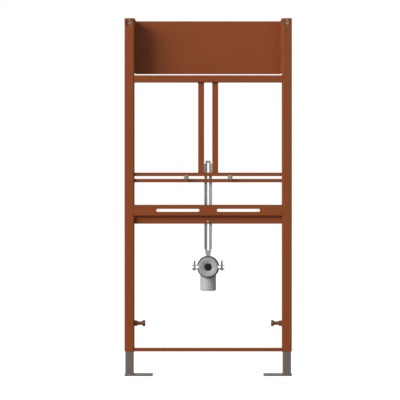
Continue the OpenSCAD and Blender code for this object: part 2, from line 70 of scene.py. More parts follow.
# edges of a CAD node that turn by more than this are rounded, in so many steps
BEVEL_DEG, BEVEL_STEPS = 50.0, 2
ROD_SEGMENTS = 32
WHITE = (1, 1, 1, 1)
# sockets of a colour Mix node
MIX_FACTOR, MIX_A, MIX_B, MIX_RESULT = 0, 6, 7, 2

Radius = float | Callable[[float], float]
Station = tuple[Radius, float]
Outline = tuple[tuple[float, float], ...]


def linear(hex_code: str) -> tuple[float, float, float, float]:
    """Turns an sRGB hex value to a linear colour.

    Args:
        hex_code: the colour as "#rrggbb".

    Returns:
        Red, green, blue and an alpha of one.
    """
    parts = [int(hex_code[i:i + 2], 16) / 255 for i in (1, 3, 5)]
    red, green, blue = (c / 12.92 if c <= 0.04045 else ((c + 0.055) / 1.055) ** 2.4 for c in parts)
    return red, green, blue, 1.0


def add_node(tree: NodeTree, kind: str, inputs: dict | None = None, **settings: object) -> Node:
    """Adds a node with its settings, values and links.

    Args:
        tree: the tree that gets the node.
        kind: the node's type.
        inputs: a value or another node's output for each named or numbered input.
        settings: the node's own settings.

    Returns:
        The new node.
    """
    node = tree.nodes.new(kind)
    for name, value in settings.items():
        setattr(node, name, value)
    for name, value in (inputs or {}).items():
        if isinstance(value, NodeSocket):
            tree.links.new(value, node.inputs[name])
        else:
            node.inputs[name].default_value = value
    return node


class Slot(Enum):
    """Material slots of the record."""

    PAINT = "brown_paint"
    ZINC = "zinc_steel"
    DARK_STEEL = "dark_steel"
    BLACK_RUBBER = "black_rubber"
    GREY_RUBBER = "grey_rubber"
    PLASTIC = "grey_plastic"


@dataclass(frozen=True)
class Finish:
    """A surface with two tones, a gloss and a fine relief, which each kind of finish draws."""

    name: str
    slot: Slot
    tone: str
    second_tone: str
    roughness: float
    roughness_spread: float
    patch_mm: float
    grain_mm: float
    relief_mm: float
    metallic: float = 0.0
    ior: float = 1.5

    def coords(self, tree: NodeTree) -> NodeSocket:
        """Returns the piece's own coordinates, in metres."""
        return add_node(tree, "ShaderNodeTexCoord").outputs["Object"]

    def pattern(self, tree: NodeTree, coords: NodeSocket) -> tuple[NodeSocket, NodeSocket]:
        """Draws the two patterns of the finish.

        Args:
            tree: the material's tree.
            coords: where the patterns lie.

        Returns:
            The share of the second tone, and the height of the relief.
        """
        patches = add_node(tree, "ShaderNodeTexNoise", {
            "Vector": coords, "Scale": 1 / (self.patch_mm * MM), "Detail": 3.0, "Roughness": 0.55})
        grain = add_node(tree, "ShaderNodeTexNoise", {
            "Vector": coords, "Scale": 1 / (self.grain_mm * MM), "Detail": 2.0})
        return patches.outputs["Fac"], grain.outputs["Fac"]

    def shader_values(self) -> dict:
        """Returns further values of the shader's own sockets."""
        return {}

    def build(self) -> Material:
        """Builds the material, once for all the pieces that have it.

        Returns:
            The material.
        """
        if self.name in bpy.data.materials:
            return bpy.data.materials[self.name]
        material = bpy.data.materials.new(self.name)
        material.use_nodes = True
        tree = material.node_tree
        tree.nodes.clear()
        share, height = self.pattern(tree, self.coords(tree))
        colour = add_node(tree, "ShaderNodeMix", {
            MIX_FACTOR: share, MIX_A: linear(self.tone), MIX_B: linear(self.second_tone)},
            data_type="RGBA")
        gloss = add_node(tree, "ShaderNodeMapRange", {
            "Value": height, "To Min": self.roughness - self.roughness_spread,
            "To Max": self.roughness + self.roughness_spread})
        bump = add_node(tree, "ShaderNodeBump", {
            "Height": height, "Distance": self.relief_mm * MM, "Strength": 1.0})
        shader = add_node(tree, "ShaderNodeBsdfPrincipled", {
            "Base Color": colour.outputs[MIX_RESULT], "Roughness": gloss.outputs["Result"],
            "Normal": bump.outputs["Normal"], "Metallic": self.metallic, "IOR": self.ior,
            **self.shader_values()})
        add_node(tree, "ShaderNodeOutputMaterial", {"Surface": shader.outputs["BSDF"]})
        material.diffuse_color = linear(self.tone)
        return material


@dataclass(frozen=True)
class PowderCoat(Finish):
    """Polyester powder, sprayed and baked: an even, half-matt film with a soft orange peel.

    The eye sees one colour with slight clouding where the film is thicker, and a highlight that
    the peel breaks up. The peel of such a film is 1 to 2 mm wide. That is too fine to show, so
    it is drawn wider.
    """

    specular_level: float = 0.25

    def shader_values(self) -> dict:
        """Returns the value for the matting agent, which takes half of the film's reflection."""
        return {"Specular IOR Level": self.specular_level}


@dataclass(frozen=True)
class ZincPlate(Finish):
    """Steel sheet and tube with a zinc layer, passivated: dull metal with faint crystals.

    The eye sees grey flakes that catch the light differently. On thin layers they are 1 mm or
    smaller. That is too fine to show, so they are drawn as flakes of a few millimetres.
    """

    flake_mm: float = 5.0
    flake_bias: float = -0.1

    def pattern(self, tree: NodeTree, coords: NodeSocket) -> tuple[NodeSocket, NodeSocket]:
        """Draws crystals over soft clouds.

        Args:
            tree: the material's tree.
            coords: where the patterns lie.

        Returns:
            The share of the second tone, and the height of the relief.
        """
        clouds, grain = super().pattern(tree, coords)
        flakes = add_node(tree, "ShaderNodeTexVoronoi", {
            "Vector": coords, "Scale": 1 / (self.flake_mm * MM)})
        split = add_node(tree, "ShaderNodeSeparateColor", {"Color": flakes.outputs["Color"]})
        share = add_node(tree, "ShaderNodeMath", {
            0: clouds, 1: split.outputs["Red"], 2: self.flake_bias}, operation="MULTIPLY_ADD")
        return share.outputs["Value"], grain


@dataclass(frozen=True)
class MachinedSteel(Finish):
    """Screws and nuts, cold-formed and plated: tight, brighter metal with fine forming lines.

    The eye sees short streaks across the part and small differences of gloss. The lines are
    about 0.1 mm apart. That is too fine to show, so they are drawn over 1 mm apart.
    """

    streak: float = 7.0

    def coords(self, tree: NodeTree) -> NodeSocket:
        """Returns the piece's coordinates, drawn out along X so that grains become streaks."""
        stretch = add_node(tree, "ShaderNodeMapping", {
            "Vector": super().coords(tree), "Scale": (1 / self.streak, 1.0, 1.0)})
        return stretch.outputs["Vector"]


@dataclass(frozen=True)
class MouldedPlastic(Finish):
    """Polypropylene, injection moulded: even colour, satin gloss and an eroded mould's texture.

    The eye sees a soft highlight and a little light that enters the wall. The texture's grains
    are about 0.1 mm wide. That is too fine to show, so they are drawn over 1 mm wide.
    """

    depth_mm: float = 1.0
    depth_share: float = 0.06

    def shader_values(self) -> dict:
        """Returns the values for the light that enters the wall."""
        return {"Subsurface Weight": self.depth_share, "Subsurface Radius": (1.0, 1.0, 1.0),
                "Subsurface Scale": self.depth_mm * MM}


@dataclass(frozen=True)
class Rubber(Finish):
    """EPDM rubber, moulded: matt, with a faint bloom on its surface.

    The eye sees a broad grey sheen at grazing angles and no clear highlight. Its grain is about
    0.1 mm wide. That is too fine to show, so it is drawn over 1 mm wide.
    """

    sheen: float = 0.15
    sheen_roughness: float = 0.5

    def shader_values(self) -> dict:
        """Returns the values for the bloom."""
        return {"Sheen Weight": self.sheen, "Sheen Roughness": self.sheen_roughness}


BROWN_PAINT = PowderCoat(
    "brown_powder_coat", Slot.PAINT, tone="#984C20", second_tone="#8E471C",
    roughness=0.40, roughness_spread=0.05, patch_mm=70, grain_mm=3.5, relief_mm=0.03)
DULL_ZINC = ZincPlate(
    "galvanised_tube", Slot.ZINC, tone="#867B71", second_tone="#776D63",
    roughness=0.5, roughness_spread=0.06, patch_mm=35, grain_mm=1.5, relief_mm=0.015, metallic=0.55)
BRIGHT_ZINC = ZincPlate(
    "zinc_plated_sheet", Slot.ZINC, tone="#BDBBB8", second_tone="#ABA9A6",
    roughness=0.42, roughness_spread=0.06, patch_mm=30, grain_mm=1.5, relief_mm=0.015, metallic=0.6,
    flake_mm=3.5)
SCREW_STEEL = MachinedSteel(
    "zinc_plated_screws", Slot.ZINC, tone="#C6BFB6", second_tone="#A49D93",
    roughness=0.36, roughness_spread=0.06, patch_mm=4, grain_mm=1.2, relief_mm=0.01, metallic=0.7)
YELLOW_STEEL = MachinedSteel(
    "yellow_passivated_nuts", Slot.ZINC, tone="#D8B29A", second_tone="#B08D72",
    roughness=0.34, roughness_spread=0.06, patch_mm=4, grain_mm=1.2, relief_mm=0.01, metallic=0.25)
BROWN_SCREW = MachinedSteel(
    "brown_lacquered_screws", Slot.DARK_STEEL, tone="#986649", second_tone="#7E553F",
    roughness=0.42, roughness_spread=0.06, patch_mm=6, grain_mm=1.2, relief_mm=0.01, metallic=0.3)
# a greyer, lighter copy of the brown screw finish for the threaded shanks: its lightness is painted
# light, lifting the shank out of the shade of its upright and boss
LIT_SHANK_STEEL = MachinedSteel(
    "screw_threads_painted_light", Slot.DARK_STEEL, tone="#AE8061", second_tone="#90694F",
    roughness=0.4, roughness_spread=0.06, patch_mm=6, grain_mm=1.2, relief_mm=0.01, metallic=0.4)
PIPE_PLASTIC = MouldedPlastic(
    "light_grey_polypropylene", Slot.PLASTIC, tone="#C8C9CD", second_tone="#C1C2C6",
    roughness=0.38, roughness_spread=0.04, patch_mm=40, grain_mm=1.6, relief_mm=0.012)
# a darker, warmer copy of the light grey plastic: painted shade for the inside of the elbow's bore
PIPE_BORE_SHADE = MouldedPlastic(
    "polypropylene_bore_painted_shade", Slot.PLASTIC, tone="#BDBBB5", second_tone="#B0AEA8",
    roughness=0.5, roughness_spread=0.04, patch_mm=20, grain_mm=1.6, relief_mm=0.012)
SEAL_RUBBER = Rubber(
    "grey_seal_rubber", Slot.GREY_RUBBER, tone="#B7B7B9", second_tone="#ABABAD",
    roughness=0.6, roughness_spread=0.05, patch_mm=18, grain_mm=1.2, relief_mm=0.02)
LINING_RUBBER = Rubber(
    "black_lining_rubber", Slot.BLACK_RUBBER, tone="#454341", second_tone="#393735",
    roughness=0.65, roughness_spread=0.05, patch_mm=15, grain_mm=1.2, relief_mm=0.02)


class Axis(Enum):
    """Directions that a turned piece can point to."""

    UP = (0.0, 0.0, 1.0)
    WALL = (0.0, 1.0, 0.0)
    RIGHT = (1.0, 0.0, 0.0)
    LEFT = (-1.0, 0.0, 0.0)

    def place(self, origin: Sequence[float]) -> Matrix:
        """Returns the matrix that takes local +Z to this direction, at a point in metres."""
        turn = Vector((0.0, 0.0, 1.0)).rotation_difference(Vector(self.value))
        return Matrix.Translation(Vector(origin)) @ turn.to_matrix().to_4x4()


@dataclass(frozen=True)
class WeldBead:
    """A hand-laid weld bead, in mm. Its ripples show how the torch moved on, step by step."""

    radius: float
    step: float = 1.1
    sides: int = 10
    ripple: float = 2.6
    ripple_share: float = 0.14
    swell_share: float = 0.05
    swell_rad_per_mm: float = 0.37
    # share of its size that it has at a free end, and what each step from there adds
    end_share: float = 0.35
    end_growth: float = 0.3

    def stops(self, path: Sequence[Vector], closed: bool) -> list[tuple[Vector, Vector]]:
        """Divides a path into steps.

        Args:
            path: corner points of the path, in metres.
            closed: whether the path comes back to its first point.

        Returns:
            Each step's point and the direction of the path there.
        """
        stops: list[tuple[Vector, Vector]] = []
        for start, end in zip(path, [*path[1:], *(path[:1] if closed else [])]):
            count = max(2, round((end - start).length / (self.step * MM)))
            along = (end - start).normalized()
            stops += [(start.lerp(end, k / count), along) for k in range(count)]
        if not closed:
            stops.append((path[-1], (path[-1] - path[-2]).normalized()))
        return stops

    def size(self, k: int, count: int, closed: bool) -> float:
        """Works out how thick the bead is at a step.

        Args:
            k: number of the step.
            count: how many steps there are.
            closed: whether the bead has no free end, where it would run out.

        Returns:
            The radius in metres.
        """
        travelled = k * self.step
        ripple = self.ripple_share * math.sin(FULL_TURN * travelled / self.ripple)
        swell = self.swell_share * math.sin(travelled * self.swell_rad_per_mm)
        to_end = math.inf if closed else min(k, count - 1 - k)
        return (self.radius * MM * (1 + ripple + swell)
                * min(1.0, self.end_share + self.end_growth * to_end))

    def rings(self, path: Sequence[Vector], closed: bool) -> list[list[Vector]]:
        """Draws the bead along a path.

        Args:
            path: corner points of the path, in metres.
            closed: whether the path comes back to its first point.

        Returns:
            The bead's rings, in metres.
        """
        rings = []
        stops = self.stops(path, closed)
        for k, (point, along) in enumerate(stops):
            side = along.orthogonal().normalized()
            up = along.cross(side)
            size = self.size(k, len(stops), closed)
            rings.append([point + (side * math.cos(a) + up * math.sin(a)) * size
                          for a in (FULL_TURN * s / self.sides for s in range(self.sides))])
        return rings


class Shape:
    """A mesh that is collected from turned and lofted forms before it becomes one piece."""

    def __init__(self) -> None:
        """Starts with no points and no faces."""
        self.points: list[Vector] = []
        self.faces: list[tuple[int, ...]] = []

    def loft(self, rings: Sequence[Sequence[Vector]], closed: bool = False) -> None:
        """Joins rings of equal length, one after the other.

        Args:
            rings: the closed rings, in metres.
            closed: whether the last ring joins the first, else both get a cap.
        """
        first, size = len(self.points), len(rings[0])
        for ring in rings:
            self.points.extend(ring)
        count = len(rings)
        for i in range(count if closed else count - 1):
            here, there = first + i * size, first + (i + 1) % count * size
            for k in range(size):
                after = (k + 1) % size
                self.faces.append((here + k, here + after, there + after, there + k))
        if not closed:
            self.faces.append(tuple(range(first + size - 1, first - 1, -1)))
            last = first + (count - 1) * size
            self.faces.append(tuple(range(last, last + size)))

    def turn(self, stations: Iterable[Station], place: Matrix, segments: int,
             closed: bool = False) -> None:
        """Turns an outline round local +Z.

        Args:
            stations: radius and height of each ring in mm. A radius may be a function of the
                angle, which gives hexagons, crosses and threads.
            place: where the local origin lies and points.
            segments: points in a ring.
            closed: whether the outline is a closed loop beside the axis.
        """
        angles = [FULL_TURN * k / segments for k in range(segments)]
        rings = []
        for radius, height in stations:
            radii = [radius(a) if callable(radius) else radius for a in angles]
            rings.append([place @ (Vector((r * math.cos(a), r * math.sin(a), height)) * MM)
                          for r, a in zip(radii, angles)])
        self.loft(rings, closed)

    def bead(self, path: Sequence[Vector], radius: float, closed: bool = False) -> None:
        """Lays a weld bead along a path, given in metres, with its radius in mm."""
        self.loft(WeldBead(radius).rings(path, closed), closed)

    def to_object(self, name: str) -> Object:
        """Makes the object, with its normals outwards and only its sharp edges sharp.

        Args:
            name: the piece's name.

        Returns:
            The new object, linked to the scene.
        """
        mesh = bpy.data.meshes.new(name)
        mesh.from_pydata(self.points, [], self.faces)
        work = bmesh.new()
        work.from_mesh(mesh)
        bmesh.ops.remove_doubles(work, verts=work.verts, dist=SAME_POINT)
        bmesh.ops.recalc_face_normals(work, faces=work.faces)
        work.to_mesh(mesh)
        work.free()
        mesh.shade_smooth()
        mesh.set_sharp_from_angle(angle=math.radians(SHARP_DEG))
        obj = bpy.data.objects.new(name, mesh)
        bpy.context.scene.collection.objects.link(obj)
        return obj


@dataclass(frozen=True)
class Thread:
    """A metric outside thread. Its depth, flanks and end chamfer are shares of the pitch."""

    diameter: float
    pitch: float
    rows: int = 6
    depth: float = 0.55
    chamfer: float = 0.6
    flank_top: float = 1.25
    flank_slope: float = 3.2

    def radius(self, height: float, room: float) -> Callable[[float], float]:
        """Describes the thread's ring at a height, with the chamfer of a free end.

        Args:
            height: height of the ring in mm.
            room: distance to the nearest free end in mm.

        Returns:
            The ring's radius over the angle.
        """
        crest = self.diameter / 2
        core = crest - self.depth * self.pitch
        most = crest - self.chamfer * self.pitch + room

        def at(angle: float) -> float:
            """Works out one point of the ring.

            Args:
                angle: angle of the point.

            Returns:
                Its radius in mm.
            """
            phase = (height / self.pitch - angle / FULL_TURN) % 1.0
            rise = min(1.0, max(0.0, self.flank_top - abs(phase - 0.5) * self.flank_slope))
            return min(core + (crest - core) * rise, most)
        return at

    def stations(self, start: float, end: float, open_start: bool = True,
                 open_end: bool = True) -> list[Station]:
        """Lays the thread between two heights.

        Args:
            start: first height in mm.
            end: last height in mm.
            open_start: whether the first end is a free, chamfered end.
            open_end: whether the last end is a free, chamfered end.

        Returns:
            The rings of the thread.
        """
        count = max(2, round((end - start) / self.pitch * self.rows))
        rings: list[Station] = []
        for k in range(count + 1):
            height = start + (end - start) * k / count
            room = min(height - start if open_start else math.inf,
                       end - height if open_end else math.inf)
            rings.append((self.radius(height, room), height))
        return rings


def hexagon(across_flats: float) -> Callable[[float], float]:
    """Describes a hexagon as a ring.

    Args:
        across_flats: its width in mm.

    Returns:
        Its radius over the angle.
    """
    def at(angle: float) -> float:
        """Returns the radius at an angle."""
        return across_flats / 2 / math.cos((angle + math.pi / 6) % (math.pi / 3) - math.pi / 6)
    return at


def cross(reach: float, half_width: float) -> Callable[[float], float]:
    """Describes a cross recess as a ring.

    Args:
        reach: how far its arms reach from the middle, in mm.
        half_width: half the width of an arm in mm.

    Returns:
        Its radius over the angle.
    """
    def at(angle: float) -> float:
        """Returns the radius at an angle."""
        off_arm = abs((angle + math.pi / 4) % (math.pi / 2) - math.pi / 4)
        return min(reach, half_width / max(math.sin(off_arm), NEARLY_ZERO))
    return at


@dataclass(frozen=True)
class CrossHead:
    """A domed screw head with a cross recess. Depths are below its crown, in mm."""

    dome: tuple[tuple[float, float], ...]
    height: float
    neck_r: float
    recess_reach: float
    recess_half_w: float
    recess_mouth: float
    recess_floor: float
    recess_tip: float
    tip_r: float
    floor_share: float = 0.55

    def stations(self) -> list[Station]:
        """Lays the head from the tip of its recess, over the dome, to its underside.

        Returns:
            The rings of the head.
        """
        recess = cross(self.recess_reach, self.recess_half_w)
        return [(self.tip_r, self.recess_tip),
                (lambda a: recess(a) * self.floor_share, self.recess_floor),
                (recess, self.recess_mouth), *self.dome,
                (self.dome[-1][0], self.height), (self.neck_r, self.height)]


BODY_OF = {node: body for body, nodes in frame["record"]["behaviour"]["bodies"].items()
           for node in nodes}


class Assembly:
    """What every sub-assembly does: dresses CAD nodes and adds modelled pieces."""

    def dress(self, nodes: Iterable[str], finish: Finish, edge_mm: float = 0.0) -> None:
        """Gives CAD nodes their finish, and a soft edge where the real one is rounded.

        Args:
            nodes: the nodes' names.
            finish: their finish.
            edge_mm: width of the rounded edge, or none for nodes that have round forms already.
        """
        for name in nodes:
            obj = frame["nodes"][name]
            for slot in obj.material_slots:
                slot.material = finish.build()
            if edge_mm:
                soft = obj.modifiers.new("edges", "BEVEL")
                soft.width, soft.segments = edge_mm * MM, BEVEL_STEPS
                soft.limit_method, soft.angle_limit = "ANGLE", math.radians(BEVEL_DEG)
                soft.harden_normals = True
            log.info("%s: %s", name, finish.name)

    def add(self, shape: Shape, name: str, finish: Finish, replaces: str = "",
            body: str = "") -> Object:
        """Turns a shape into a piece that rides on its body.

        Args:
            shape: the piece's mesh.
            name: the piece's name.
            finish: the piece's finish.
            replaces: the CAD node that the piece stands for, if any.
            body: the body that it rides on, where it replaces no node.

        Returns:
            The new piece.
        """
        obj = shape.to_object(name)
        obj.data.materials.append(finish.build())
        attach(obj, BODY_OF[replaces] if replaces else body)
        if replaces:
            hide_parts(replaces)
        log.info("%s: %s, %d faces", name, finish.name, len(obj.data.polygons))
        return obj

    def second_finish(self, piece: Object, finish: Finish, first_face: int) -> None:
        """Gives the last of a piece's faces another finish.

        Args:
            piece: the piece.
            finish: the finish that these faces get.
            first_face: number of the first of them.
        """
        piece.data.materials.append(finish.build())
        for face in piece.data.polygons[first_face:]:
            face.material_index = 1

    def centre(self, node: str) -> Vector:
        """Returns the middle of a node's box."""
        low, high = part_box(node)
        return (low + high) / 2

    def seat(self, node: str, axis: Axis) -> tuple[Matrix, float]:
        """Finds where a turned node starts, and how long it is.

        Args:
            node: the node's name.
            axis: where it points, from its first end to its last one.

        Returns:
            The matrix that puts local +Z on its axis, from its first end, and its length in mm.
        """
        low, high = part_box(node)
        start = self.centre(node)
        along = [abs(part) for part in axis.value].index(1.0)
        start[along] = low[along] if axis.value[along] > 0 else high[along]
        return axis.place(start), (high[along] - low[along]) / MM

    def threaded_rod(self, node: str, name: str, thread: Thread, finish: Finish) -> None:
        """Models a rod that is threaded from end to end.

        Args:
            node: the CAD node that it stands for, which points to the wall.
            name: the piece's name.
            thread: its thread.
            finish: its finish.
        """
        place, length = self.seat(node, Axis.WALL)
        shape = Shape()
        shape.turn(thread.stations(0, length), place, ROD_SEGMENTS)
        self.add(shape, name, finish, replaces=node)


@dataclass
class PaintedFrame(Assembly):
    """Uprights, panel, rails, guide bars and crossmember, welded and then painted."""

    edge_mm: float = 0.4
    stitch_bead_mm: float = 1.7
    rail_bead_mm: float = 1.36
    bar_bead_mm: float = 1.19
    # how far welds stay behind a front face and away from a free edge
    front_inset_mm: float = 2.0
    edge_inset_mm: float = 3.0
    # how far the guide bars' upper welds run on behind the top rail
    overrun_mm: float = 3.0
    cross_rear_h: float = 25.0
    cross_t: float = 2.0
    stitch_mm: float = 22.0
    stitch_shares: tuple[float, ...] = (0.12, 0.5, 0.88)
    boss_steps: int = 36
    tubes: tuple[str, ...] = ("left_upright", "right_upright", "top_rail", "bottom_rail",
                              "left_guide_bar", "right_guide_bar")
    sheets: tuple[str, ...] = ("back_panel", "slotted_crossmember", "upper_fixing_rail",
                               "lower_fixing_rail", "left_clamp_boss", "right_clamp_boss")
    welds: Shape = field(default_factory=Shape)

    def build(self) -> None:
        """Dresses the nodes and adds the welds."""
        self.dress(self.tubes, BROWN_PAINT)
        self.dress(self.sheets, BROWN_PAINT, self.edge_mm)
        for node in ("top_rail", "bottom_rail", "upper_fixing_rail", "lower_fixing_rail"):
            self.rail_welds(node)
        self.crossmember_welds()
        self.panel_stitches()
        self.bar_welds()
        self.boss_welds()
        self.add(self.welds, "frame_welds", BROWN_PAINT, body="frame")

    def rail_welds(self, node: str) -> None:
        """Welds a rail's rear and its upper and lower edges to both uprights.

        Args:
            node: the rail.
        """
        low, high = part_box(node)
        front = low.y + self.front_inset_mm * MM
        for x in (low.x, high.x):
            self.welds.bead([Vector((x, front, high.z)), Vector((x, high.y, high.z)),
                             Vector((x, high.y, low.z)), Vector((x, front, low.z))],
                            self.rail_bead_mm)

    def crossmember_welds(self) -> None:
        """Welds the crossmember to both uprights behind its front, on its fold and its flange."""
        low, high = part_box("slotted_crossmember")
        fold = low.z + (self.cross_rear_h + self.cross_t) * MM
        front = low.y + self.cross_t * MM
        inset = self.edge_inset_mm * MM
        for x in (low.x, high.x):
            self.welds.bead([Vector((x, front, high.z - inset)), Vector((x, front, fold)),
                             Vector((x, high.y, fold)), Vector((x, high.y, low.z + inset))],
                            self.rail_bead_mm)

    def panel_stitches(self) -> None:
        """Stitches the panel's folds to the uprights' rear corners."""
        low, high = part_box("back_panel")
        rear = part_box("left_upright")[1].y
        half = Vector((0, 0, self.stitch_mm * MM / 2))
        for x in (low.x, high.x):
            for share in self.stitch_shares:
                middle = Vector((x, rear, low.z + (high.z - low.z) * share))
                self.welds.bead([middle - half, middle + half], self.stitch_bead_mm)

    def bar_welds(self) -> None:
        """Welds the guide bars' ends to the fixing rail below and the top rail above."""
        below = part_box("upper_fixing_rail")[1].y
        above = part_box("top_rail")[1].y + self.overrun_mm * MM
        for node in ("left_guide_bar", "right_guide_bar"):
            low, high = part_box(node)
            front = low.y + self.front_inset_mm * MM
            for x in (low.x, high.x):
                for z, rear in ((low.z, below), (high.z, above)):
                    self.welds.bead([Vector((x, front, z)), Vector((x, rear, z))], self.bar_bead_mm)

    def boss_welds(self) -> None:
        """Welds each boss to its upright all round."""
        for node, upright_side in (("left_clamp_boss", 0), ("right_clamp_boss", 1)):
            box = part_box(node)
            middle, radius = self.centre(node), (box[1].z - box[0].z) / 2
            angles = [FULL_TURN * k / self.boss_steps for k in range(self.boss_steps)]
            path = [Vector((box[upright_side].x, middle.y + radius * math.cos(a),
                            middle.z + radius * math.sin(a))) for a in angles]
            self.welds.bead(path, self.rail_bead_mm, closed=True)


@dataclass
class Feet(Assembly):
    """Two telescoping foot tubes, each welded on its plate."""

    edge_mm: float = 0.5
    bead_mm: float = 1.8
    tube_corner_mm: float = 3.0

    def build(self) -> None:
        """Dresses the nodes and adds the welds round the tubes."""
        self.dress(("left_foot_tube", "right_foot_tube"), DULL_ZINC)
        self.dress(("left_foot_plate", "right_foot_plate"), DULL_ZINC, self.edge_mm)
        welds = Shape()
        corner = self.tube_corner_mm * MM
        for side in ("left", "right"):
            low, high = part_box(f"{side}_foot_tube")
            path = [Vector((x, y, low.z)) for x, y in (
                (low.x + corner, low.y), (high.x - corner, low.y), (high.x, low.y + corner),
                (high.x, high.y - corner), (high.x - corner, high.y), (low.x + corner, high.y),
                (low.x, high.y - corner), (low.x, low.y + corner))]
            welds.bead(path, self.bead_mm, closed=True)
        self.add(welds, "foot_welds", DULL_ZINC, body="feet")


@dataclass
class ClampScrews(Assembly):
    """Screws that hold the feet: a thread in a lighter copy of the finish, which is painted light,
    and a lacquered, flared head with its hex socket.
    """

    thread: Thread = Thread(12.4, 1.25)
    head_d: float = 20.0
    head_len: float = 9.5
    flare: float = 2.4
    rim_round: float = 1.2
    # how far the middle of that rounding lies inside the rim's corner, both ways
    rim_mid: float = 0.35
    key: float = 6.0
    key_chamfer: float = 0.3
    key_depth: float = 4.0
    drill_depth: float = 4.8
    drill_tip_r: float = 0.4
    # radius of a ring on the flat front round the socket, as a share of the key's width
    land_share: float = 0.75
    segments: int = 48

    def build(self) -> None:
        """Models both screws."""
        for side, axis in (("left", Axis.RIGHT), ("right", Axis.LEFT)):
            node = f"{side}_clamp_screw"
            place, length = self.seat(node, axis)
            shank = self.thread.stations(0, length - self.head_len, open_end=False)
            shape = Shape()
            shape.turn(shank + self.head(length), place, self.segments)
            # the shank gets the lighter copy of the finish, painted light against the shade of the
            # upright and its boss
            screw = self.add(shape, f"{side}_clamp_screw_cut", LIT_SHANK_STEEL, replaces=node)
            self.second_finish(screw, BROWN_SCREW, (len(shank) - 1) * self.segments)

    def head(self, length: float) -> list[Station]:
        """Lays the head from its flare, over the rim, to the bottom of its socket.

        Args:
            length: length of the whole screw in mm.

        Returns:
            The rings of the head.
        """
        start, rim = length - self.head_len, self.head_d / 2
        flare = start + self.flare
        socket = hexagon(self.key)
        return [(self.thread.diameter / 2, start + 0.1), (rim - 0.8, flare - 0.3),
                (rim, flare + 0.4), (rim, length - self.rim_round),
                (rim - self.rim_mid, length - self.rim_mid), (rim - self.rim_round, length),
                (self.key * self.land_share, length),
                (lambda a: socket(a) + self.key_chamfer, length), (socket, length - 0.4),
                (socket, length - self.key_depth), (self.drill_tip_r, length - self.drill_depth)]


@dataclass
class StudSet(Assembly):
    """One urinal fixing stud with its nuts and washers."""

    side: str
    thread: Thread = Thread(8.0, 1.25)

    def build(self) -> None:
        """Models the stud and dresses nuts and washers."""
        self.threaded_rod(f"{self.side}_fixing_stud", f"{self.side}_threaded_stud", self.thread,
                          SCREW_STEEL)
        self.dress((f"{self.side}_stud_nuts", f"{self.side}_stud_washers"), SCREW_STEEL)


@dataclass
class WallFixings(Assembly):
    """Threaded rods to the wall with their nuts, sleeves and plates."""

    thread: Thread = Thread(10.0, 1.5)
    edge_mm: float = 0.4

    def build(self) -> None:
        """Models the rods and dresses what they carry."""
        for side in ("left", "right"):
            self.threaded_rod(f"{side}_wall_rod", f"{side}_threaded_wall_rod", self.thread,
                              YELLOW_STEEL)
            self.dress((f"{side}_wall_nuts", f"{side}_wall_sleeve"), YELLOW_STEEL)
            self.dress((f"{side}_wall_plate",), BRIGHT_ZINC, self.edge_mm)


@dataclass
class WasteStrap(Assembly):
    """Slotted strap, and the pan-head screw and nut that hold it at its height."""

    edge_mm: float = 0.25
    thread: Thread = Thread(5.0, 0.8)
    thread_start: float = 0.1
    head: CrossHead = CrossHead(
        dome=((2.6, 0.0), (3.4, 0.25), (4.1, 0.9), (4.5, 1.8)), height=3.0, neck_r=2.5,
        recess_reach=2.3, recess_half_w=0.55, recess_mouth=0.05, recess_floor=1.5,
        recess_tip=1.7, tip_r=0.3)
    segments: int = 32

    def build(self) -> None:
        """Dresses strap and nut and models the screw."""
        self.dress(("waste_strap", "strap_nut"), BRIGHT_ZINC, self.edge_mm)
        place, length = self.seat("strap_screw", Axis.WALL)
        thread = self.thread.stations(self.head.height + self.thread_start, length,
                                      open_start=False)
        shape = Shape()
        shape.turn(self.head.stations() + thread, place, self.segments)
        self.add(shape, "strap_screw_cross", SCREW_STEEL, replaces="strap_screw")


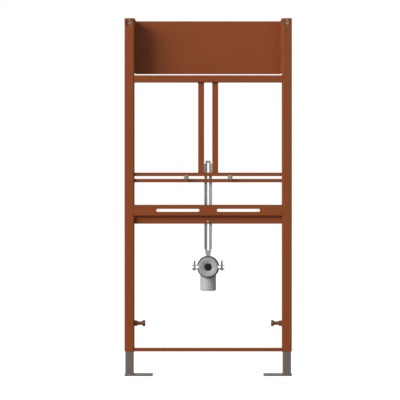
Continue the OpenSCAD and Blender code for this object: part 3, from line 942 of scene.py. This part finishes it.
@dataclass
class PipeClamp(Assembly):
    """Pipe clamp of two halves with ears, its rubber lining and its two bolts."""

    band_mid_r: float = 33.2
    band_t: float = 2.0
    band_w: float = 18.0
    band_edge: float = 0.3
    band_edge_share: float = 0.48
    arc_steps: int = 12
    ear_z: float = 5.0
    ear_reach: float = 52.0
    ear_round: float = 3.0
    ear_round_shares: tuple[float, ...] = (0.0, 1 / 6, 0.5, 1.0)
    bend_r: float = 4.0
    bend_steps: int = 6
    # rib that is rolled into the band: its height, where it starts above an ear, how long it
    # takes to rise, and its foot and top as shares of the band's width
    rib: float = 0.5
    rib_start: float = 4.0
    rib_rise: float = 6.0
    rib_foot_share: float = 0.28
    rib_top_share: float = 0.2
    lining_in_r: float = 30.1
    lining_out_r: float = 32.1
    lining_steps: int = 40
    # gap between the two parts of the lining, and the radius that it is measured at
    lining_gap: float = 8.0
    lining_gap_r: float = 31.0
    lip_r: float = 34.6
    lip_t: float = 0.9
    # grooves inside the lining: how many, how deep, and how far they stay from its edges
    grooves: int = 6
    groove: float = 0.35
    groove_margin: float = 2.0
    bolt_thread: Thread = Thread(6.0, 1.0)
    bolt_head: CrossHead = CrossHead(
        dome=((3.3, 0.0), (4.6, 0.8), (5.4, 2.0), (5.85, 3.4)), height=4.8, neck_r=3.0,
        recess_reach=3.0, recess_half_w=0.7, recess_mouth=0.12, recess_floor=2.2,
        recess_tip=2.6, tip_r=0.4)
    plain_shank: float = 12.0
    thread_start: float = 0.2
    bolt_segments: int = 40

    def build(self) -> None:
        """Models halves, lining and bolts."""
        for name, up in (("upper", 1), ("lower", -1)):
            self.clamp_half(f"{name}_clamp_half", up)
        self.lining()
        for side in ("left", "right"):
            self.bolt(side)

    def band_path(self) -> list[tuple[Vector, Vector]]:
        """Lays the upper half's middle line, from its right ear over the pipe to its left ear.

        Returns:
            Points and outward normals, with X and Z in mm.
        """
        corner_z = self.ear_z + self.bend_r
        corner_x = math.sqrt((self.band_mid_r + self.bend_r) ** 2 - corner_z ** 2)
        start = math.atan2(corner_z, corner_x)
        centre = Vector((corner_x, 0, corner_z))
        ear = [self.ear_reach - self.ear_round * share for share in self.ear_round_shares]
        half = [(Vector((x, 0, self.ear_z)), Vector((0, 0, 1))) for x in (*ear, corner_x + 1)]
        low_turn, high_turn = -math.pi / 2, -math.pi + start
        for k in range(self.bend_steps + 1):
            a = low_turn + (high_turn - low_turn) * k / self.bend_steps
            out = Vector((math.cos(a), 0, math.sin(a)))
            half.append((centre + out * self.bend_r, -out))
        for k in range(1, self.arc_steps + 1):
            a = start + (math.pi / 2 - start) * k / self.arc_steps
            out = Vector((math.cos(a), 0, math.sin(a)))
            half.append((out * self.band_mid_r, out))
        mirrored = [(Vector((-p.x, 0, p.z)), Vector((-n.x, 0, n.z))) for p, n in half[-2::-1]]
        return half + mirrored

    def clamp_half(self, node: str, up: int) -> None:
        """Models one half: a band with a rolled rib, which runs out into two round-cornered ears.

        Args:
            node: the CAD node that it stands for.
            up: 1 for the upper half and -1 for the lower one.
        """
        middle, half_t = self.centre("clamp_lining"), self.band_t / 2
        rings = []
        for point, normal in self.band_path():
            to_end = min(self.ear_reach - abs(point.x), self.ear_round)
            corner = max(0.0, self.ear_round ** 2 - (self.ear_round - to_end) ** 2)
            width = self.band_w - 2 * (self.ear_round - math.sqrt(corner))
            on_band = (point.z - self.ear_z - self.rib_start) / self.rib_rise
            rib = self.rib * max(0.0, min(1.0, on_band))
            side = [(0.5, -half_t), (0.5, half_t - self.band_edge), (self.band_edge_share, half_t),
                    (self.rib_foot_share, half_t), (self.rib_top_share, half_t + rib)]
            ring = []
            for share, rise in [(-share, rise) for share, rise in side] + side[::-1]:
                spot = point + normal * rise
                ring.append(middle + Vector((spot.x, share * width, spot.z * up)) * MM)
            rings.append(ring)
        shape = Shape()
        shape.loft(rings)
        self.add(shape, f"{node}_band", BRIGHT_ZINC, replaces=node)

    def lining(self) -> None:
        """Models the lining, grooved inside, whose lips stand up along the band's edges."""
        middle = self.centre("clamp_lining")
        half_w = (middle.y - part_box("clamp_lining")[0].y) / MM
        inner, outer, lip = self.lining_in_r, self.lining_out_r, self.lip_r
        edge = [(inner, half_w), (lip - 0.5, half_w), (lip, half_w - 0.3),
                (lip - 0.2, half_w - self.lip_t), (outer, half_w - self.lip_t - 0.05)]
        flanks, grooved = 2 * self.grooves, 2 * (half_w - self.groove_margin)
        inside = [(inner + self.groove * (k % 2),
                   half_w - self.groove_margin - k * grooved / flanks) for k in range(flanks + 1)]
        outline = [(r, -y) for r, y in edge] + edge[::-1] + inside
        gap = math.asin(self.lining_gap / 2 / self.lining_gap_r)
        shape = Shape()
        for up in (1, -1):
            rings = []
            for k in range(self.lining_steps + 1):
                a = gap + (math.pi - 2 * gap) * k / self.lining_steps
                rings.append([middle + Vector((r * math.cos(a), y, up * r * math.sin(a))) * MM
                              for r, y in outline])
            shape.loft(rings)
        self.add(shape, "clamp_lining_ribbed", LINING_RUBBER, replaces="clamp_lining")

    def bolt(self, side: str) -> None:
        """Models a round-headed bolt from below, with its plain shank and its thread.

        Args:
            side: the side of the clamp that it is on.
        """
        node = f"{side}_clamp_bolt"
        place, length = self.seat(node, Axis.UP)
        plain_end = self.bolt_head.height + self.plain_shank
        thread = self.bolt_thread.stations(plain_end + self.thread_start, length,
                                           open_start=False)
        shape = Shape()
        shape.turn([*self.bolt_head.stations(), (self.bolt_head.neck_r, plain_end), *thread],
                   place, self.bolt_segments)
        self.add(shape, f"{side}_clamp_bolt_round", SCREW_STEEL, replaces=node)


@dataclass
class WasteElbow(Assembly):
    """Moulded elbow with its socket to the front and its outlet down.

    Each row of outline points gives a ring's distance, towards the wall or up, from the place
    that the comment names, and its radius over the nominal one there.
    """

    socket_r: float = 30.0
    socket_len: float = 24.0
    socket_wall: float = 3.2
    rim_rise: float = 0.7
    shoulder: float = 4.0
    neck: float = 2.0
    pipe_r: float = 25.0
    pipe_wall: float = 2.0
    bend_r: float = 30.0
    bend_steps: int = 16
    sides: int = 64
    seam: float = 0.3
    seam_angle: float = 0.028
    # from the mouth, on the rim
    rim_points: Outline = ((0.0, -0.9), (0.3, -0.3), (0.9, 0.0), (2.6, 0.0))
    # from the mouth, on the socket
    socket_points: Outline = ((3.4, 0.0), (4.0, 0.0))
    # from the socket's back, on the socket
    back_points: Outline = ((-0.8, 0.0), (0.0, -0.6))
    # from the outlet's end, on the pipe: with the seams, and then without them on the bevel
    outlet_points: Outline = ((40.0, 0.0), (3.0, 0.0))
    bevel_points: Outline = ((2.6, 0.0), (0.4, -1.1), (0.0, -1.4))
    # inside: a ring above the outlet's end, and the sloping step between bore and socket, which
    # starts and ends at these distances from the socket's back
    bore_start: float = 6.0
    step_start: float = 1.0
    step_end: float = -2.0
    # chamfer of the mouth: its depth and its width
    mouth_chamfer: tuple[float, float] = (1.0, 0.6)

    def build(self) -> None:
        """Models the elbow's outside and inside as one wall."""
        low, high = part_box("waste_elbow")
        x, z = (low.x + high.x) / 2 / MM, high.z / MM - self.socket_r
        mouth, outlet = low.y / MM, low.z / MM
        back = mouth + self.socket_len
        shoulder = back + self.shoulder
        bend_y = shoulder + self.neck

        def across(y: float, r: float, seam: float = 0.0) -> list[Vector]:
            """Returns a ring of the level stretch, at a depth."""
            return self.ring(Vector((x, y, z)), Vector((0, 0, 1)), r, seam)

        def below(height: float, r: float, seam: float = 0.0) -> list[Vector]:
            """Returns a ring of the stretch that points down, at a height."""
            return self.ring(Vector((x, bend_y + self.bend_r, height)), Vector((0, 1, 0)), r, seam)

        def turned(r: float, seam: float = 0.0) -> list[list[Vector]]:
            """Draws the bend.

            Args:
                r: radius of its rings in mm.
                seam: height of the mould seams in mm.

            Returns:
                Its rings, from the level stretch to the one that points down.
            """
            rings = []
            for k in range(self.bend_steps + 1):
                a = math.pi / 2 * k / self.bend_steps
                out = Vector((0, math.sin(a), math.cos(a)))
                centre = Vector((x, bend_y, z - self.bend_r)) + out * self.bend_r
                rings.append(self.ring(centre, out, r, seam))
            return rings

        rim, pipe, seam = self.socket_r + self.rim_rise, self.pipe_r, self.seam
        bore, mouth_r = self.pipe_r - self.pipe_wall, self.socket_r - self.socket_wall
        chamfer_depth, chamfer_w = self.mouth_chamfer
        outside = [
            *(across(mouth + far, rim + more) for far, more in self.rim_points),
            *(across(mouth + far, self.socket_r + more) for far, more in self.socket_points),
            *(across(back + far, self.socket_r + more) for far, more in self.back_points),
            across(shoulder - 0.4, pipe + 0.5), across(shoulder, pipe + 0.1, seam),
            *turned(pipe, seam),
            *(below(outlet + far, pipe + more, seam) for far, more in self.outlet_points),
            *(below(outlet + far, pipe + more) for far, more in self.bevel_points)]
        inside = [
            below(outlet, bore), below(outlet + self.bore_start, bore), *turned(bore)[::-1],
            across(back + self.step_start, bore), across(back + self.step_end, mouth_r),
            across(mouth + chamfer_depth, mouth_r), across(mouth, mouth_r + chamfer_w)]
        shape = Shape()
        shape.loft(outside + inside, closed=True)
        elbow = self.add(shape, "waste_elbow_moulded", PIPE_PLASTIC, replaces="waste_elbow")
        # the inside gets the darker copy of the plastic, which paints shade into the bore
        self.second_finish(elbow, PIPE_BORE_SHADE, len(outside) * len(outside[0]))

    def angles(self) -> list[float]:
        """Spreads the points of a ring.

        Returns:
            Their angles, with three close points at each mould seam.
        """
        plain = [FULL_TURN * k / self.sides for k in range(self.sides)]
        extra = [s + d for s in (math.pi / 2, 1.5 * math.pi)
                 for d in (-self.seam_angle, self.seam_angle)]
        return sorted(plain + extra)

    def ring(self, centre: Vector, up: Vector, radius: float, seam: float) -> list[Vector]:
        """Draws a ring of the pipe across its path.

        Args:
            centre: middle of the ring, in mm.
            up: direction of the ring's top, across the path.
            radius: radius of the ring in mm.
            seam: height of the mould seams in mm.

        Returns:
            The ring's points, in metres.
        """
        points = []
        for a in self.angles():
            near_seam = min(abs(a - math.pi / 2), abs(a - 1.5 * math.pi)) < self.seam_angle / 2
            r = radius + (seam if near_seam else 0.0)
            points.append((centre + Vector((r * math.cos(a), 0, 0)) + up * (r * math.sin(a))) * MM)
        return points


@dataclass
class InletSeal(Assembly):
    """Rubber seal in the socket's mouth: a lip over the rim and a ridged cone to the inlet hole."""

    hole_r: float = 12.0
    hole_round: float = 0.8
    hole_rim_t: float = 4.0
    cone: float = 4.8
    # exponent of the cone's curve, which makes it a dish
    dish: float = 2.0
    # ridges stand on the crests of these waves over the face, but not at its two ends
    ridge: float = 0.2
    ridge_waves: int = 4
    ridge_sharpness: int = 6
    ridge_range: tuple[float, float] = (0.1, 0.9)
    face_steps: int = 30
    face_margin: float = 1.6
    face_depth: float = 0.15
    lip_t: float = 2.0
    lip_proud: float = 2.8
    sleeve_wall: float = 3.0
    segments: int = 96

    def face(self, lip: float) -> list[Station]:
        """Lays the face from the inlet hole to the lip.

        Args:
            lip: outer radius of the lip in mm.

        Returns:
            The rings of the face.
        """
        start = self.hole_r + self.hole_round
        first, last = self.ridge_range
        rings: list[Station] = []
        for k in range(self.face_steps + 1):
            share = k / self.face_steps
            wave = max(0.0, math.cos(FULL_TURN * self.ridge_waves * share)) ** self.ridge_sharpness
            ridge = self.ridge * wave if first < share < last else 0.0
            rings.append((start + (lip - self.face_margin - start) * share,
                          self.cone * (1 - share) ** self.dish + self.face_depth - ridge))
        return rings

    def build(self) -> None:
        """Models the seal."""
        place, length = self.seat("inlet_seal", Axis.WALL)
        low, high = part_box("inlet_seal")
        lip = (high.x - low.x) / 2 / MM
        sleeve, hole = lip - self.lip_proud, self.hole_r
        inside, rear = sleeve - self.sleeve_wall, self.cone + self.hole_rim_t
        outline: list[Station] = [
            (lip - 1, 0), (lip - 0.3, 0.35), (lip, 1), (lip, self.lip_t), (sleeve, self.lip_t),
            (sleeve, length), (inside, length), (inside, self.cone + 0.4), (hole + 2.5, rear),
            (hole + 0.4, rear), (hole, rear - 0.6), (hole, self.cone + 0.7)]
        shape = Shape()
        shape.turn(self.face(lip) + outline, place, self.segments, closed=True)
        self.add(shape, "inlet_seal_ridged", SEAL_RUBBER, replaces="inlet_seal")


@dataclass(frozen=True)
class SoftBox:
    """A soft light: its direction, from the front to the left, its height and its power."""

    name: str
    azimuth_deg: float
    height_deg: float
    watt: float


@dataclass
class Studio:
    """Camera, soft light and the pale floor."""

    eye: tuple[float, float, float] = (0.2407, -4.42, 0.6146)
    lens_mm: float = 126.34
    sensor_mm: float = 36.0
    shift: tuple[float, float] = (-0.015, -0.05)
    sight_m: float = 100.0
    aim: tuple[float, float, float] = (0.2475, -0.02, 0.65)
    ambient: float = 0.2
    floor_m: float = 40.0
    floor_glow: float = 0.9
    floor_grey: float = 0.4
    light_distance: float = 14.0
    light_size: tuple[float, float] = (8.4, 6.0)
    lights: tuple[SoftBox, ...] = (
        SoftBox("key", 46.0, 22.0, 1450.0), SoftBox("side", 80.0, 12.0, 470.0),
        SoftBox("fill", -14.0, 5.0, 180.0), SoftBox("back", 190.0, 30.0, 270.0))

    def build(self) -> None:
        """Builds the studio."""
        self.camera()
        for box in self.lights:
            self.light(box)
        self.world()
        self.floor()

    def camera(self) -> None:
        """Puts the camera where the photograph was taken from."""
        data = bpy.data.cameras.new("camera")
        data.lens, data.sensor_width = self.lens_mm, self.sensor_mm
        data.shift_x, data.shift_y = self.shift
        data.clip_end = self.sight_m
        camera = bpy.data.objects.new("camera", data)
        camera.location = self.eye
        camera.rotation_euler = (math.pi / 2, 0, 0)
        bpy.context.scene.collection.objects.link(camera)
        bpy.context.scene.camera = camera

    def light(self, box: SoftBox) -> None:
        """Adds a soft box that faces the frame.

        Args:
            box: what the light is like.
        """
        data = bpy.data.lights.new(box.name, "AREA")
        data.shape = "RECTANGLE"
        data.size, data.size_y = self.light_size
        data.energy = box.watt
        azimuth, height = math.radians(box.azimuth_deg), math.radians(box.height_deg)
        towards = Vector((-math.sin(azimuth) * math.cos(height),
                          -math.cos(azimuth) * math.cos(height), math.sin(height)))
        light = bpy.data.objects.new(box.name, data)
        light.visible_camera = False
        light.location = Vector(self.aim) + towards * self.light_distance
        light.rotation_euler = towards.to_track_quat("Z", "Y").to_euler()
        bpy.context.scene.collection.objects.link(light)

    def world(self) -> None:
        """Makes the room white to the camera and dimmer as a light."""
        world = bpy.data.worlds.new("room")
        world.use_nodes = True
        tree = world.node_tree
        tree.nodes.clear()
        rays = add_node(tree, "ShaderNodeLightPath")
        dim = add_node(tree, "ShaderNodeBackground", {"Color": WHITE, "Strength": self.ambient})
        white = add_node(tree, "ShaderNodeBackground", {"Color": WHITE, "Strength": 1.0})
        both = add_node(tree, "ShaderNodeMixShader", {
            0: rays.outputs["Is Camera Ray"], 1: dim.outputs[0], 2: white.outputs[0]})
        add_node(tree, "ShaderNodeOutputWorld", {"Surface": both.outputs[0]})
        bpy.context.scene.world = world
        bpy.context.scene.view_settings.view_transform = "Standard"

    def floor(self) -> None:
        """Adds the floor, nearly white to the camera, with a faint shadow."""
        half = self.floor_m / 2
        mesh = bpy.data.meshes.new("floor")
        mesh.from_pydata([(-half, -half, 0), (half, -half, 0), (half, half, 0), (-half, half, 0)],
                         [], [(0, 1, 2, 3)])
        floor = bpy.data.objects.new("floor", mesh)
        bpy.context.scene.collection.objects.link(floor)
        material = bpy.data.materials.new("pale_floor")
        material.use_nodes = True
        tree = material.node_tree
        tree.nodes.clear()
        rays = add_node(tree, "ShaderNodeLightPath")
        glow = add_node(tree, "ShaderNodeEmission", {"Color": WHITE, "Strength": self.floor_glow})
        paint = add_node(tree, "ShaderNodeBsdfDiffuse", {
            "Color": (self.floor_grey, self.floor_grey, self.floor_grey, 1)})
        bright = add_node(tree, "ShaderNodeAddShader", {0: glow.outputs[0], 1: paint.outputs[0]})
        both = add_node(tree, "ShaderNodeMixShader", {
            0: rays.outputs["Is Camera Ray"], 1: paint.outputs[0], 2: bright.outputs[0]})
        add_node(tree, "ShaderNodeOutputMaterial", {"Surface": both.outputs[0]})
        mesh.materials.append(material)


def main() -> None:
    """Builds the sub-assemblies in order, then the studio."""
    logging.basicConfig(level=logging.INFO, format="%(name)s: %(message)s")
    assemblies = [PaintedFrame(), Feet(), ClampScrews(), StudSet("left"), StudSet("right"),
                  WallFixings(), WasteStrap(), PipeClamp(), WasteElbow(), InletSeal()]
    for assembly in assemblies:
        assembly.build()
    Studio().build()
    bpy.context.view_layer.update()


if __name__ == "__main__":
    main()
